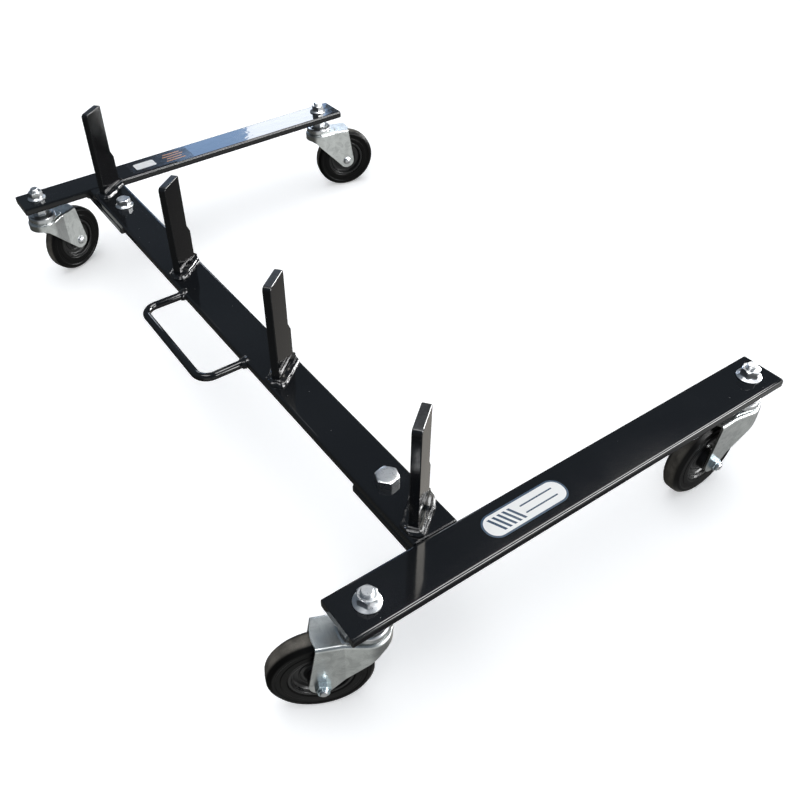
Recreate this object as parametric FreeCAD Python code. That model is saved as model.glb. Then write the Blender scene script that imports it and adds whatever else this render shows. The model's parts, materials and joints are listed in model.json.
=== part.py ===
"""Engine stand: a low four-caster dolly that carries an engine or gearbox on four upright blades.

Frame: millimetres, +Z up, floor at Z = 0, +X along the main bar towards the front end.
The model is laid out about the middle of the steel frame, then moved so that the origin is the
centre of the foot of the whole stand's bounding box.
"""
import FreeCAD, Part
import math
import os

# ---- driving dimensions (millimetres, degrees) ----------------------------------------------

# Flat steel stock, used for the cross bars, the main bar, the stub plates and the uprights
STOCK_WIDTH = 50.8
STOCK_THICKNESS = 11.1
STOCK_EDGE_RADIUS = 3.0
STOCK_END_CHAMFER = 0.7

# Frame
FRAME_LENGTH = 914.4
CROSS_BAR_LENGTH = 558.8
DECK_HEIGHT = 143.0                # top face of the cross bars and the main bar
MAIN_BAR_Y = -153.7                # the main bar sits nearer one side of the stand
BUTT_GAP = 0.4                     # between the main bar's ends and the cross bars
STUB_OUTER_X = 445.0               # outer ends of both plates, under the cross bars
FRONT_STUB_END_X = 306.5           # inner end of the plate below the front joint
REAR_STUB_END_X = -293.0           # inner end of the plate below the rear joint
JOINT_BOLT_INSET = 127.0           # joint bolts from the ends of the frame

# Uprights: stepped blades standing across the main bar at a slant
UPRIGHT_HEIGHT = 127.0
UPRIGHT_THICKNESS = 9.5
UPRIGHT_X = (-391.0, -128.2, 127.1, 377.0)
UPRIGHT_Y = -150.0                 # middle of the blades, just off the main bar's own middle
UPRIGHT_TURN = 128.8               # direction of the blade's width, from +X
UPRIGHT_BASE_WIDTH = 50.4
UPRIGHT_MID_WIDTH = 43.3
UPRIGHT_TOP_WIDTH = 36.9
UPRIGHT_BASE_STEP = (4.5, 11.0)    # heights where the back edge starts and ends its lower step
UPRIGHT_TOP_STEP = (45.0, 56.0)    # the same for the upper step
UPRIGHT_FRONT_RADIUS = 5.0
UPRIGHT_BACK_RADIUS = 2.0
UPRIGHT_EDGE_CHAMFER = 0.6

# Grab handle: a round rod bent to a U, welded to the edge of the main bar
HANDLE_ROD_RADIUS = 5.0
HANDLE_LEG_X = (-77.9, 86.4)
HANDLE_RUN_Y = -234.8
HANDLE_Z = 138.2                   # middle of the rod, whose top is level with the main bar
HANDLE_BEND_RADIUS = 17.0

# Weld beads
UPRIGHT_WELD_LEG = 7.0
UPRIGHT_WELD_RISE = 6.0
STUB_WELD_LEG = 6.0
STUB_WELD_LENGTH = 34.0
HANDLE_WELD_RADIUS = 8.0
HANDLE_WELD_LENGTH = 6.0
HANDLE_WELD_LAP = 7.0              # over the rounded edge of the main bar

# Fasteners: (across flats, height, thread radius)
FRONT_BOLT_FLATS = 22.0            # M14 hexagon bolt
FRONT_BOLT_HEAD = 8.8
FRONT_BOLT_RADIUS = 7.0
FRONT_NUT_HEIGHT = 11.0
REAR_BOLT_FLATS = 18.0             # M12 flange bolt
REAR_BOLT_HEAD = 11.5
REAR_BOLT_RADIUS = 6.0
REAR_NUT_HEIGHT = 10.0
FLANGE_RADIUS = 13.1
FLANGE_HEIGHT = 2.6
HOLE_CLEARANCE = 0.5
WASHER_RADIUS = 14.0
WASHER_THICKNESS = 2.5
BOLT_TAIL = 4.0                    # thread showing beyond a nut
FIT_GAP = 0.05                     # between a nut or washer and what it sits on the outside of

# Casters
HOLE_INSET = 28.6                  # stem from the end of the cross bar, on average
HOLE_SHIFT = 3.0                   # both holes sit off the bar's middle, opposite ways front and rear
TRAIL = 45.4                       # axle behind the swivel axis
WHEEL_RADIUS = 50.8
TYRE_WIDTH = 21.0
TYRE_SHOULDER = 5.5
CORE_RADIUS = 31.0
CASTERS = (                        # name, end of frame, side of frame, direction of the wheel
    ("front_right", 1, -1, -113.7),
    ("front_left", 1, 1, -89.5),
    ("rear_right", -1, -1, 115.0),
    ("rear_left", -1, 1, 74.0),
)

# Caster stem, an M12 stud with a hexagon base
STEM_RADIUS = 6.0
STEM_NUT_HEIGHT = 12.0
STEM_NUT_FLATS = 18.0
STEM_TAIL = 4.5
STEM_HEX_FLATS = 19.0
STEM_HEX_HEIGHT = 13.0
RIVET_RADIUS = 8.5
RIVET_HEIGHT = 3.0

# Swivel bearing
UPPER_RACE_RADIUS = 20.3
UPPER_RACE_THICKNESS = 2.2
UPPER_BALL_RADIUS = 2.38
UPPER_BALL_CIRCLE = 15.2
UPPER_BALL_COUNT = 16
LOWER_RACE_RADIUS = 13.5
LOWER_RACE_THICKNESS = 2.0
LOWER_BALL_RADIUS = 2.0
LOWER_BALL_CIRCLE = 10.0
LOWER_BALL_COUNT = 12
BALL_GAP = 0.1

# Fork, pressed from sheet
CROWN_TOP = 108.0
CROWN_RADIUS = 22.4
CROWN_BORE = 7.4
CROWN_EMBOSS = 1.6                 # height of the raised round part of the crown
CROWN_EMBOSS_RADIUS = 29.0
CROWN_REAR = 49.0                  # rear edge of the crown at the legs, behind the swivel axis
CROWN_REAR_BULGE = 3.0             # the rear edge is this much further out in its middle
FORK_SHEET = 2.6
FORK_HALF_WIDTH = 18.2
FORK_CREASE = 24.0                 # where the tapering sides of the crown meet the flat legs
FORK_BEND_RADIUS = 3.4
SKIRT_BOTTOM = 96.5
BOSS_RADIUS = 12.5

# Axle
AXLE_RADIUS = 4.0
AXLE_HEAD_RADIUS = 6.6
AXLE_HEAD_HEIGHT = 4.4
AXLE_NUT_FLATS = 13.0
AXLE_NUT_HEIGHT = 7.6
AXLE_TAIL = 1.6
SLEEVE_RADIUS = 6.0
BUSH_RADIUS = 8.6
BUSH_LENGTH = 9.0
HUB_RADIUS = 13.0
HUB_HALF_LENGTH = 14.4
RUNNING_CLEARANCE = 0.08

# Labels on the cross bars, thin film
LABEL_THICKNESS = 0.25
FRONT_LABEL_SIZE = (28.5, 98.5)
FRONT_LABEL_Y = -68.5
REAR_LABEL_SIZE = (40.0, 104.0)
REAR_LABEL_Y = -51.5

# ---- derived places -------------------------------------------------------------------------

DECK_BOTTOM = DECK_HEIGHT - STOCK_THICKNESS
STUB_BOTTOM = DECK_BOTTOM - STOCK_THICKNESS
END_BAR_X = (FRAME_LENGTH - STOCK_WIDTH) / 2
HALF_MAIN_BAR = FRAME_LENGTH / 2 - STOCK_WIDTH - BUTT_GAP
JOINT_BOLT_X = FRAME_LENGTH / 2 - JOINT_BOLT_INSET
STEM_Y = CROSS_BAR_LENGTH / 2 - HOLE_INSET
FORK_INNER = FORK_HALF_WIDTH - FORK_SHEET
CROWN_BOTTOM = CROWN_TOP - FORK_SHEET
STEM_HEX_BOTTOM = DECK_BOTTOM - STEM_HEX_HEIGHT
UPPER_BALL_Z = CROWN_TOP + CROWN_EMBOSS + BALL_GAP + UPPER_BALL_RADIUS
UPPER_RACE_UNDERSIDE = UPPER_BALL_Z + UPPER_BALL_RADIUS + BALL_GAP
LOWER_BALL_Z = CROWN_BOTTOM - BALL_GAP - LOWER_BALL_RADIUS
LOWER_RACE_TOP = LOWER_BALL_Z - LOWER_BALL_RADIUS - BALL_GAP
LOWER_RACE_BOTTOM = LOWER_RACE_TOP - LOWER_RACE_THICKNESS

V = FreeCAD.Vector
UP = V(0, 0, 1)
ACROSS = V(0, 1, 0)
ORIGIN = V(0, 0, 0)


# ---- shape helpers --------------------------------------------------------------------------

def cylinder(radius, base, height, direction=UP):
    return Part.makeCylinder(radius, height, base, direction)


def tube(outer, inner, base, height, direction=UP):
    return cylinder(outer, base, height, direction).cut(cylinder(inner, base, height, direction))


def hexagon(flats, base, height, direction=UP, turn=0.0):
    """Hexagonal prism with its corners trimmed by a cone, as on a forged nut or bolt head."""
    corner = flats / math.sqrt(3)
    points = [V(corner * math.cos(math.radians(60 * i + turn)),
                corner * math.sin(math.radians(60 * i + turn)), 0) for i in range(7)]
    prism = Part.Face(Part.makePolygon(points)).extrude(V(0, 0, height))
    drop = (corner - flats / 2) * 0.9
    trim = revolved([(0, 0), (corner, 0), (corner, height - drop), (flats / 2 - 0.4, height), (0, height)])
    return placed(prism.common(trim), base, direction)


def revolved(profile, axis=UP):
    """Turn a closed outline of (radius, height) points about Z, then lay Z along the axis given."""
    points = [V(r, 0, z) for r, z in profile]
    points.append(points[0])
    solid = Part.Face(Part.makePolygon(points)).revolve(ORIGIN, UP, 360)
    return placed(solid, ORIGIN, axis)


def placed(shape, position, direction=UP):
    """Copy of a shape drawn along Z, laid along the direction given, at the position given."""
    moved = shape.copy()
    moved.Placement = FreeCAD.Placement(position, FreeCAD.Rotation(UP, direction))
    return moved


def turned(shape, degrees, position):
    """Copy of a shape turned about Z, then moved."""
    moved = shape.copy()
    moved.Placement = FreeCAD.Placement(position, FreeCAD.Rotation(UP, degrees)).multiply(moved.Placement)
    return moved


def group(solids):
    return Part.makeCompound(solids)


# ---- flat bar frame -------------------------------------------------------------------------

def flat_bar(length, along_x):
    """Rolled flat with rounded long edges and lightly chamfered ends, top face at Z = 0."""
    size = (length, STOCK_WIDTH) if along_x else (STOCK_WIDTH, length)
    corner = V(-size[0] / 2, -size[1] / 2, -STOCK_THICKNESS)
    bar = Part.makeBox(size[0], size[1], STOCK_THICKNESS, corner)
    long_edges = [e for e in bar.Edges if abs(e.Length - length) < 0.01]
    bar = bar.makeFillet(STOCK_EDGE_RADIUS, long_edges)
    end = length / 2
    end_faces = [f for f in bar.Faces
                 if abs(abs(f.CenterOfMass.x if along_x else f.CenterOfMass.y) - end) < 0.01]
    end_edges = [e for f in end_faces for e in f.Edges]
    return bar.makeChamfer(STOCK_END_CHAMFER, end_edges)


def drilled(bar, x, y, radius):
    depth = 4 * STOCK_THICKNESS
    return bar.cut(cylinder(radius, V(x, y, DECK_HEIGHT - depth), 2 * depth))


def cross_bar(end):
    bar = turned(flat_bar(CROSS_BAR_LENGTH, False), 0, V(end * END_BAR_X, 0, DECK_HEIGHT))
    for side in (-1, 1):
        bar = drilled(bar, end * END_BAR_X, stem_y(end, side), STEM_RADIUS + HOLE_CLEARANCE)
    return bar


def stem_y(end, side):
    return side * STEM_Y + end * HOLE_SHIFT


def main_bar():
    bar = turned(flat_bar(2 * HALF_MAIN_BAR, True), 0, V(0, MAIN_BAR_Y, DECK_HEIGHT))
    bar = drilled(bar, JOINT_BOLT_X, MAIN_BAR_Y, FRONT_BOLT_RADIUS + HOLE_CLEARANCE)
    return drilled(bar, -JOINT_BOLT_X, MAIN_BAR_Y, REAR_BOLT_RADIUS + HOLE_CLEARANCE)


def stub_plate(end, inner_x, bolt_radius):
    """Plate welded below a cross bar. The main bar rests on it and is bolted to it."""
    outer_x = end * STUB_OUTER_X
    plate = flat_bar(abs(outer_x - inner_x), True)
    plate = turned(plate, 0, V((inner_x + outer_x) / 2, MAIN_BAR_Y, DECK_BOTTOM))
    return drilled(plate, end * JOINT_BOLT_X, MAIN_BAR_Y, bolt_radius + HOLE_CLEARANCE)


def stub_welds(plates):
    """Fillet welds along both sides of each stub plate, below its cross bar."""
    middle = (FRAME_LENGTH / 2 - STOCK_WIDTH + STUB_OUTER_X) / 2
    inset = STOCK_EDGE_RADIUS / 2
    beads = []
    for end, plate in plates.items():
        for side in (-1, 1):
            y = MAIN_BAR_Y + side * STOCK_WIDTH / 2
            start = end * middle - STUB_WELD_LENGTH / 2
            section = Part.makePolygon([
                V(start, y - side * inset, DECK_BOTTOM),
                V(start, y + side * STUB_WELD_LEG, DECK_BOTTOM),
                V(start, y, DECK_BOTTOM - STUB_WELD_LEG),
                V(start, y - side * inset, DECK_BOTTOM - STUB_WELD_LEG / 2),
                V(start, y - side * inset, DECK_BOTTOM)])
            bead = Part.Face(section).extrude(V(STUB_WELD_LENGTH, 0, 0))
            beads.append(bead.cut(plate))
    return group(beads)


# ---- uprights -------------------------------------------------------------------------------

def upright():
    """Stepped blade: width along X from its middle, thickness along Y, foot at Z = 0."""
    front = -UPRIGHT_BASE_WIDTH / 2
    base_low, base_high = UPRIGHT_BASE_STEP
    top_low, top_high = UPRIGHT_TOP_STEP
    top_back = front + UPRIGHT_TOP_WIDTH
    mid_back = front + UPRIGHT_MID_WIDTH
    base_back = front + UPRIGHT_BASE_WIDTH
    half = UPRIGHT_THICKNESS / 2
    outline = [(front, 0), (front, UPRIGHT_HEIGHT), (top_back, UPRIGHT_HEIGHT), (top_back, top_high),
               (mid_back, top_low), (mid_back, base_high), (base_back, base_low), (base_back, 0), (front, 0)]
    wire = Part.makePolygon([V(x, -half, z) for x, z in outline])
    blade = Part.Face(wire).extrude(V(0, UPRIGHT_THICKNESS, 0))
    blade = rounded_corner(blade, front, UPRIGHT_FRONT_RADIUS)
    blade = rounded_corner(blade, top_back, UPRIGHT_BACK_RADIUS)
    broad_faces = [f for f in blade.Faces if abs(abs(f.CenterOfMass.y) - half) < 0.01]
    rim = [e for f in broad_faces for e in f.Edges if e.BoundBox.ZMax > 0.01]
    return blade.makeChamfer(UPRIGHT_EDGE_CHAMFER, rim)


def rounded_corner(blade, x, radius):
    edges = [e for e in blade.Edges
             if abs(e.CenterOfMass.x - x) < 0.01 and abs(e.CenterOfMass.z - UPRIGHT_HEIGHT) < 0.01
             and abs(e.Length - UPRIGHT_THICKNESS) < 0.01]
    return blade.makeFillet(radius, edges)


def upright_weld():
    """Sloping bead all round the foot of an upright."""
    foot = weld_outline(UPRIGHT_WELD_LEG, 0)
    head = weld_outline(0.4, UPRIGHT_WELD_RISE)
    bead = Part.makeLoft([foot, head], True, True)
    return bead.cut(upright())


def weld_outline(offset, z):
    half_x = UPRIGHT_BASE_WIDTH / 2 + offset
    half_y = UPRIGHT_THICKNESS / 2 + offset
    corners = [(-half_x, -half_y), (half_x, -half_y), (half_x, half_y), (-half_x, half_y), (-half_x, -half_y)]
    return Part.makePolygon([V(x, y, z) for x, y in corners])


def upright_place(x):
    return UPRIGHT_TURN, V(x, UPRIGHT_Y, DECK_HEIGHT)


def upright_welds():
    """Beads of all four uprights, ending where the top face of the main bar does."""
    width = STOCK_WIDTH - STOCK_EDGE_RADIUS
    corner = V(-FRAME_LENGTH / 2, MAIN_BAR_Y - width / 2, DECK_HEIGHT)
    top_face = Part.makeBox(FRAME_LENGTH, width, 2 * UPRIGHT_WELD_RISE, corner)
    bead = upright_weld()
    return group([turned(bead, *upright_place(x)).common(top_face) for x in UPRIGHT_X])


# ---- grab handle ----------------------------------------------------------------------------

def grab_handle():
    """Rod: leg, bend, run, bend and leg, its top level with the main bar."""
    z = HANDLE_Z
    near, far = HANDLE_LEG_X
    bar_edge = MAIN_BAR_Y - STOCK_WIDTH / 2
    r = HANDLE_BEND_RADIUS
    s = r * (1 - math.sqrt(0.5))
    edges = [
        Part.makeLine(V(near, bar_edge, z), V(near, HANDLE_RUN_Y + r, z)),
        Part.Arc(V(near, HANDLE_RUN_Y + r, z), V(near + s, HANDLE_RUN_Y + s, z),
                 V(near + r, HANDLE_RUN_Y, z)).toShape(),
        Part.makeLine(V(near + r, HANDLE_RUN_Y, z), V(far - r, HANDLE_RUN_Y, z)),
        Part.Arc(V(far - r, HANDLE_RUN_Y, z), V(far - s, HANDLE_RUN_Y + s, z),
                 V(far, HANDLE_RUN_Y + r, z)).toShape(),
        Part.makeLine(V(far, HANDLE_RUN_Y + r, z), V(far, bar_edge, z)),
    ]
    section = Part.Wire(Part.makeCircle(HANDLE_ROD_RADIUS, V(near, bar_edge, z), ACROSS))
    return Part.Wire(edges).makePipeShell([section], True, False)


def handle_welds(handle, bar):
    """Lump of weld round each leg where it meets the edge of the main bar."""
    bar_edge = MAIN_BAR_Y - STOCK_WIDTH / 2
    profile = [(0, -HANDLE_WELD_LAP), (HANDLE_ROD_RADIUS + 0.8, -HANDLE_WELD_LAP),
               (HANDLE_WELD_RADIUS, -HANDLE_WELD_LAP / 2), (HANDLE_WELD_RADIUS, 0),
               (HANDLE_WELD_RADIUS - 1, HANDLE_WELD_LENGTH * 0.5),
               (HANDLE_ROD_RADIUS + 0.4, HANDLE_WELD_LENGTH), (0, HANDLE_WELD_LENGTH)]
    lumps = []
    for x in HANDLE_LEG_X:
        lump = placed(revolved(profile), V(x, bar_edge, HANDLE_Z), V(0, -1, 0))
        lumps.append(lump.cut(handle).cut(bar))
    return group(lumps)


# ---- fasteners of the frame -----------------------------------------------------------------

def front_joint_bolt():
    """Hexagon bolt, head on the main bar, from its head down."""
    length = 2 * STOCK_THICKNESS + WASHER_THICKNESS + FRONT_NUT_HEIGHT + BOLT_TAIL
    head = hexagon(FRONT_BOLT_FLATS, V(0, 0, 0), FRONT_BOLT_HEAD, turn=12)
    shank = cylinder(FRONT_BOLT_RADIUS, V(0, 0, -length), length)
    bolt = head.fuse(tipped(shank, FRONT_BOLT_RADIUS, -length))
    return placed(bolt, V(JOINT_BOLT_X, MAIN_BAR_Y, DECK_HEIGHT))


def rear_joint_bolt():
    """Flange bolt, head on the main bar, from its head down."""
    length = 2 * STOCK_THICKNESS + WASHER_THICKNESS + REAR_NUT_HEIGHT + BOLT_TAIL
    head = flange_hexagon(REAR_BOLT_FLATS, REAR_BOLT_HEAD, 8)
    shank = cylinder(REAR_BOLT_RADIUS, V(0, 0, -length), length)
    bolt = head.fuse(tipped(shank, REAR_BOLT_RADIUS, -length))
    return placed(bolt, V(-JOINT_BOLT_X, MAIN_BAR_Y, DECK_HEIGHT))


def tipped(shank, radius, tip_z, size=1.0):
    """Chamfer the free end of a thread, at the height given."""
    rim = [e for e in shank.Edges
           if abs(e.BoundBox.ZMin - tip_z) < 0.01 and abs(e.BoundBox.ZMax - tip_z) < 0.01]
    return shank.makeChamfer(size, rim)


def flange_hexagon(flats, height, turn):
    """Hexagon rising from a round flange with a sloping top, foot at Z = 0."""
    slope = 1.3
    rim_top = FLANGE_HEIGHT - slope
    slope_top = FLANGE_HEIGHT + slope
    flange = revolved([(0, 0), (FLANGE_RADIUS - 0.5, 0), (FLANGE_RADIUS, 0.5), (FLANGE_RADIUS, rim_top),
                       (flats / 2 - 0.5, slope_top), (0, slope_top)])
    return flange.fuse(hexagon(flats, V(0, 0, rim_top), height - rim_top, turn=turn))


def joint_washers():
    washers = []
    for x, bolt_radius in ((JOINT_BOLT_X, FRONT_BOLT_RADIUS), (-JOINT_BOLT_X, REAR_BOLT_RADIUS)):
        base = V(x, MAIN_BAR_Y, STUB_BOTTOM - WASHER_THICKNESS)
        washers.append(tube(WASHER_RADIUS, bolt_radius + 2 * FIT_GAP, base, WASHER_THICKNESS))
    return group(washers)


def joint_nuts():
    nuts = []
    sizes = ((JOINT_BOLT_X, FRONT_BOLT_FLATS, FRONT_NUT_HEIGHT, FRONT_BOLT_RADIUS),
             (-JOINT_BOLT_X, REAR_BOLT_FLATS, REAR_NUT_HEIGHT, REAR_BOLT_RADIUS))
    for x, flats, height, radius in sizes:
        seat = V(x, MAIN_BAR_Y, STUB_BOTTOM - WASHER_THICKNESS)
        blank = hexagon(flats, seat, height, V(0, 0, -1))
        nuts.append(blank.cut(cylinder(radius + FIT_GAP, seat - UP * 2 * height, 3 * height)))
    return group(nuts)


# ---- caster stem and bearing, fixed to the frame --------------------------------------------

def stem():
    """Stud through the cross bar, hexagon base, king pin and rivet head, on the swivel axis."""
    top = DECK_HEIGHT + STEM_NUT_HEIGHT + STEM_TAIL
    bottom = LOWER_RACE_BOTTOM
    shank = tipped(cylinder(STEM_RADIUS, V(0, 0, bottom), top - bottom), STEM_RADIUS, top)
    base = hexagon(STEM_HEX_FLATS, V(0, 0, STEM_HEX_BOTTOM), STEM_HEX_HEIGHT)
    rivet = revolved([(0, bottom), (RIVET_RADIUS, bottom), (RIVET_RADIUS - 1.2, bottom - RIVET_HEIGHT + 0.6),
                      (RIVET_RADIUS - 3.4, bottom - RIVET_HEIGHT), (0, bottom - RIVET_HEIGHT)])
    return shank.fuse([base, rivet]).removeSplitter()


def stem_nut():
    nut = flange_hexagon(STEM_NUT_FLATS, STEM_NUT_HEIGHT, 20)
    nut = nut.cut(cylinder(STEM_RADIUS + FIT_GAP, V(0, 0, -1), 2 * STEM_NUT_HEIGHT))
    return placed(nut, V(0, 0, DECK_HEIGHT))


def upper_race():
    """Inverted cup below the hexagon base, with a rim that covers the upper balls."""
    top = STEM_HEX_BOTTOM
    under = UPPER_RACE_UNDERSIDE
    rim = UPPER_RACE_RADIUS
    skin = UPPER_RACE_THICKNESS
    rim_foot = CROWN_TOP + 2.4
    bore = STEM_RADIUS + FIT_GAP
    return revolved([(bore, top), (rim - 7, top), (rim - 5.6, top - 1.0), (rim - 4.6, under + skin + 0.4),
                     (rim - 1.6, under + skin), (rim - 0.4, under + skin - 0.9), (rim, under + skin - 2.2),
                     (rim, rim_foot), (rim - skin + 0.6, rim_foot), (rim - skin + 0.4, under), (bore, under)])


def lower_race():
    """Dished washer held by the rivet head, carrying the lower balls."""
    rim = LOWER_RACE_RADIUS
    bore = STEM_RADIUS + FIT_GAP
    lip = LOWER_RACE_TOP + 2.0
    return revolved([(bore, LOWER_RACE_BOTTOM), (rim - 0.8, LOWER_RACE_BOTTOM),
                     (rim, LOWER_RACE_BOTTOM + 0.8), (rim, lip), (rim - 1.0, lip),
                     (rim - 1.0, LOWER_RACE_TOP), (bore, LOWER_RACE_TOP)])


def ball_ring(count, circle, radius, z):
    step = 2 * math.pi / count
    return [Part.makeSphere(radius, V(circle * math.cos(i * step), circle * math.sin(i * step), z))
            for i in range(count)]


def swivel_balls():
    return group(ball_ring(UPPER_BALL_COUNT, UPPER_BALL_CIRCLE, UPPER_BALL_RADIUS, UPPER_BALL_Z)
                 + ball_ring(LOWER_BALL_COUNT, LOWER_BALL_CIRCLE, LOWER_BALL_RADIUS, LOWER_BALL_Z))


# ---- fork -----------------------------------------------------------------------------------

def fork_plan(inset):
    """Plan of the fork: round front about the swivel axis, tapering to straight sides at the legs."""
    radius = CROWN_RADIUS - inset
    crease = V(FORK_CREASE, FORK_HALF_WIDTH - inset, 0)
    touch_angle = math.atan2(crease.y, crease.x) + math.acos(radius / crease.Length)
    touch = V(radius * math.cos(touch_angle), radius * math.sin(touch_angle), 0)
    rear = V(TRAIL + BOSS_RADIUS + 10, crease.y, 0)

    def mirror(point):
        return V(point.x, -point.y, 0)

    return Part.Face(Part.Wire([
        Part.makeLine(rear, crease),
        Part.makeLine(crease, touch),
        Part.Arc(touch, V(-radius, 0, 0), mirror(touch)).toShape(),
        Part.makeLine(mirror(touch), mirror(crease)),
        Part.makeLine(mirror(crease), mirror(rear)),
        Part.makeLine(mirror(rear), rear)]))


def fork_side():
    """Side outline of the fork: crown above, skirt in front, legs narrowing to the axle boss."""
    boss = V(TRAIL, 0, WHEEL_RADIUS)
    skirt_rear = V(-10, 0, SKIRT_BOTTOM - 3.5)
    front_tangent = tangent_point(skirt_rear, boss, BOSS_RADIUS, -1)
    crown_rear = V(CROWN_REAR, 0, CROWN_TOP + 1)
    rear_tangent = tangent_point(crown_rear, boss, BOSS_RADIUS, 1)
    bottom = V(boss.x, 0, boss.z - BOSS_RADIUS)
    front_top = V(-CROWN_RADIUS - 2, 0, CROWN_TOP + 1)
    skirt_front = V(-CROWN_RADIUS - 2, 0, SKIRT_BOTTOM)
    outline = Part.Wire([
        Part.makeLine(front_top, skirt_front),
        Part.makeLine(skirt_front, V(-17, 0, SKIRT_BOTTOM)),
        Part.makeLine(V(-17, 0, SKIRT_BOTTOM), skirt_rear),
        Part.makeLine(skirt_rear, front_tangent),
        Part.Arc(front_tangent, bottom, rear_tangent).toShape(),
        Part.makeLine(rear_tangent, crown_rear),
        Part.makeLine(crown_rear, front_top)])
    depth = 4 * FORK_HALF_WIDTH
    return Part.Face(outline).extrude(V(0, depth, 0)).translated(V(0, -depth / 2, 0))


def tangent_point(outside, centre, radius, side):
    """Point where a line from an outside point touches a circle in the XZ plane."""
    reach = centre - outside
    distance = reach.Length
    base_angle = math.atan2(-reach.z, -reach.x)
    angle = base_angle - side * math.acos(radius / distance)
    return V(centre.x + radius * math.cos(angle), 0, centre.z + radius * math.sin(angle))


def fork():
    """Sheet fork, drawn with the wheel trailing along +X."""
    low = WHEEL_RADIUS - BOSS_RADIUS - 5
    shell = fork_plan(0).extrude(V(0, 0, CROWN_TOP - low)).translated(V(0, 0, low))
    top_rim = [e for e in shell.Edges
               if e.BoundBox.ZMin > CROWN_TOP - 0.01 and e.BoundBox.XMin < TRAIL]
    shell = shell.makeFillet(FORK_BEND_RADIUS, top_rim)
    room = fork_plan(FORK_SHEET).extrude(V(0, 0, CROWN_BOTTOM - low + 1)).translated(V(0, 0, low - 1))
    open_rear = Part.makeBox(40, 2 * FORK_INNER, CROWN_BOTTOM - low + 1, V(TRAIL, -FORK_INNER, low - 1))
    shell = shell.cut(room).cut(open_rear).common(fork_side())
    bore = cylinder(CROWN_BORE, V(0, 0, CROWN_BOTTOM - 5), 20)
    axle_hole = cylinder(AXLE_RADIUS + 0.1, V(TRAIL, -30, WHEEL_RADIUS), 60, ACROSS)
    return shell.fuse([crown_emboss(), crown_lip()]).cut(bore).cut(axle_hole).removeSplitter()


def crown_emboss():
    """Raised round part of the crown, kept clear of its bent edge."""
    base = CROWN_TOP - 1
    top = CROWN_TOP + CROWN_EMBOSS
    cone = revolved([(0, base), (CROWN_EMBOSS_RADIUS, base), (CROWN_EMBOSS_RADIUS, CROWN_TOP),
                     (CROWN_EMBOSS_RADIUS - 2, top), (0, top)])
    field = fork_plan(FORK_BEND_RADIUS + 0.2).extrude(V(0, 0, 10)).translated(V(0, 0, base - 1))
    return cone.common(field)


def crown_lip():
    """Bulging rear edge of the crown."""
    half = FORK_HALF_WIDTH - FORK_BEND_RADIUS
    left = V(CROWN_REAR, half, CROWN_BOTTOM)
    middle = V(CROWN_REAR + CROWN_REAR_BULGE, 0, CROWN_BOTTOM)
    right = V(CROWN_REAR, -half, CROWN_BOTTOM)
    outline = Part.Wire([Part.Arc(left, middle, right).toShape(), Part.makeLine(right, left)])
    return Part.Face(outline).extrude(V(0, 0, FORK_SHEET))


# ---- axle and wheel -------------------------------------------------------------------------

def axle_bolt():
    """Round-headed axle bolt, head on one leg of the fork and thread through the other."""
    tail = FORK_HALF_WIDTH + AXLE_NUT_HEIGHT + AXLE_TAIL
    head = FORK_HALF_WIDTH
    dome = [(0, -head - AXLE_HEAD_HEIGHT)]
    for degrees in (20, 40, 60, 80):
        angle = math.radians(degrees)
        dome.append((AXLE_HEAD_RADIUS * math.sin(angle), -head - AXLE_HEAD_HEIGHT * math.cos(angle)))
    profile = dome + [(AXLE_HEAD_RADIUS, -head), (AXLE_RADIUS, -head), (AXLE_RADIUS, tail - 0.8),
                      (AXLE_RADIUS - 0.8, tail), (0, tail)]
    return revolved(profile, ACROSS).translated(V(TRAIL, 0, WHEEL_RADIUS))


def axle_nut():
    """Lock nut with a hexagon foot and a round collar."""
    seat = V(TRAIL, FORK_HALF_WIDTH, WHEEL_RADIUS)
    collar_height = 2.2
    hexagon_part = hexagon(AXLE_NUT_FLATS, seat, AXLE_NUT_HEIGHT - collar_height, ACROSS)
    collar = cylinder(AXLE_NUT_FLATS / 2 - 0.9, seat, AXLE_NUT_HEIGHT, ACROSS)
    thread = cylinder(AXLE_RADIUS + FIT_GAP, seat - ACROSS, 3 * AXLE_NUT_HEIGHT, ACROSS)
    return hexagon_part.fuse(collar).cut(thread)


def axle_sleeve():
    """Spacer tube clamped between the legs of the fork. The wheel turns on it."""
    base = V(TRAIL, -FORK_INNER, WHEEL_RADIUS)
    return tube(SLEEVE_RADIUS, AXLE_RADIUS + FIT_GAP, base, 2 * FORK_INNER, ACROSS)


def tyre():
    """Solid tyre with a flat tread and round shoulders."""
    base = V(0, 0, -TYRE_WIDTH / 2)
    blank = cylinder(WHEEL_RADIUS, base, TYRE_WIDTH)
    rims = [e for e in blank.Edges if abs(e.Length - 2 * math.pi * WHEEL_RADIUS) < 0.01]
    ring = blank.makeFillet(TYRE_SHOULDER, rims).cut(cylinder(CORE_RADIUS + FIT_GAP, base, TYRE_WIDTH))
    return placed(ring, V(TRAIL, 0, WHEEL_RADIUS), ACROSS)


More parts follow.
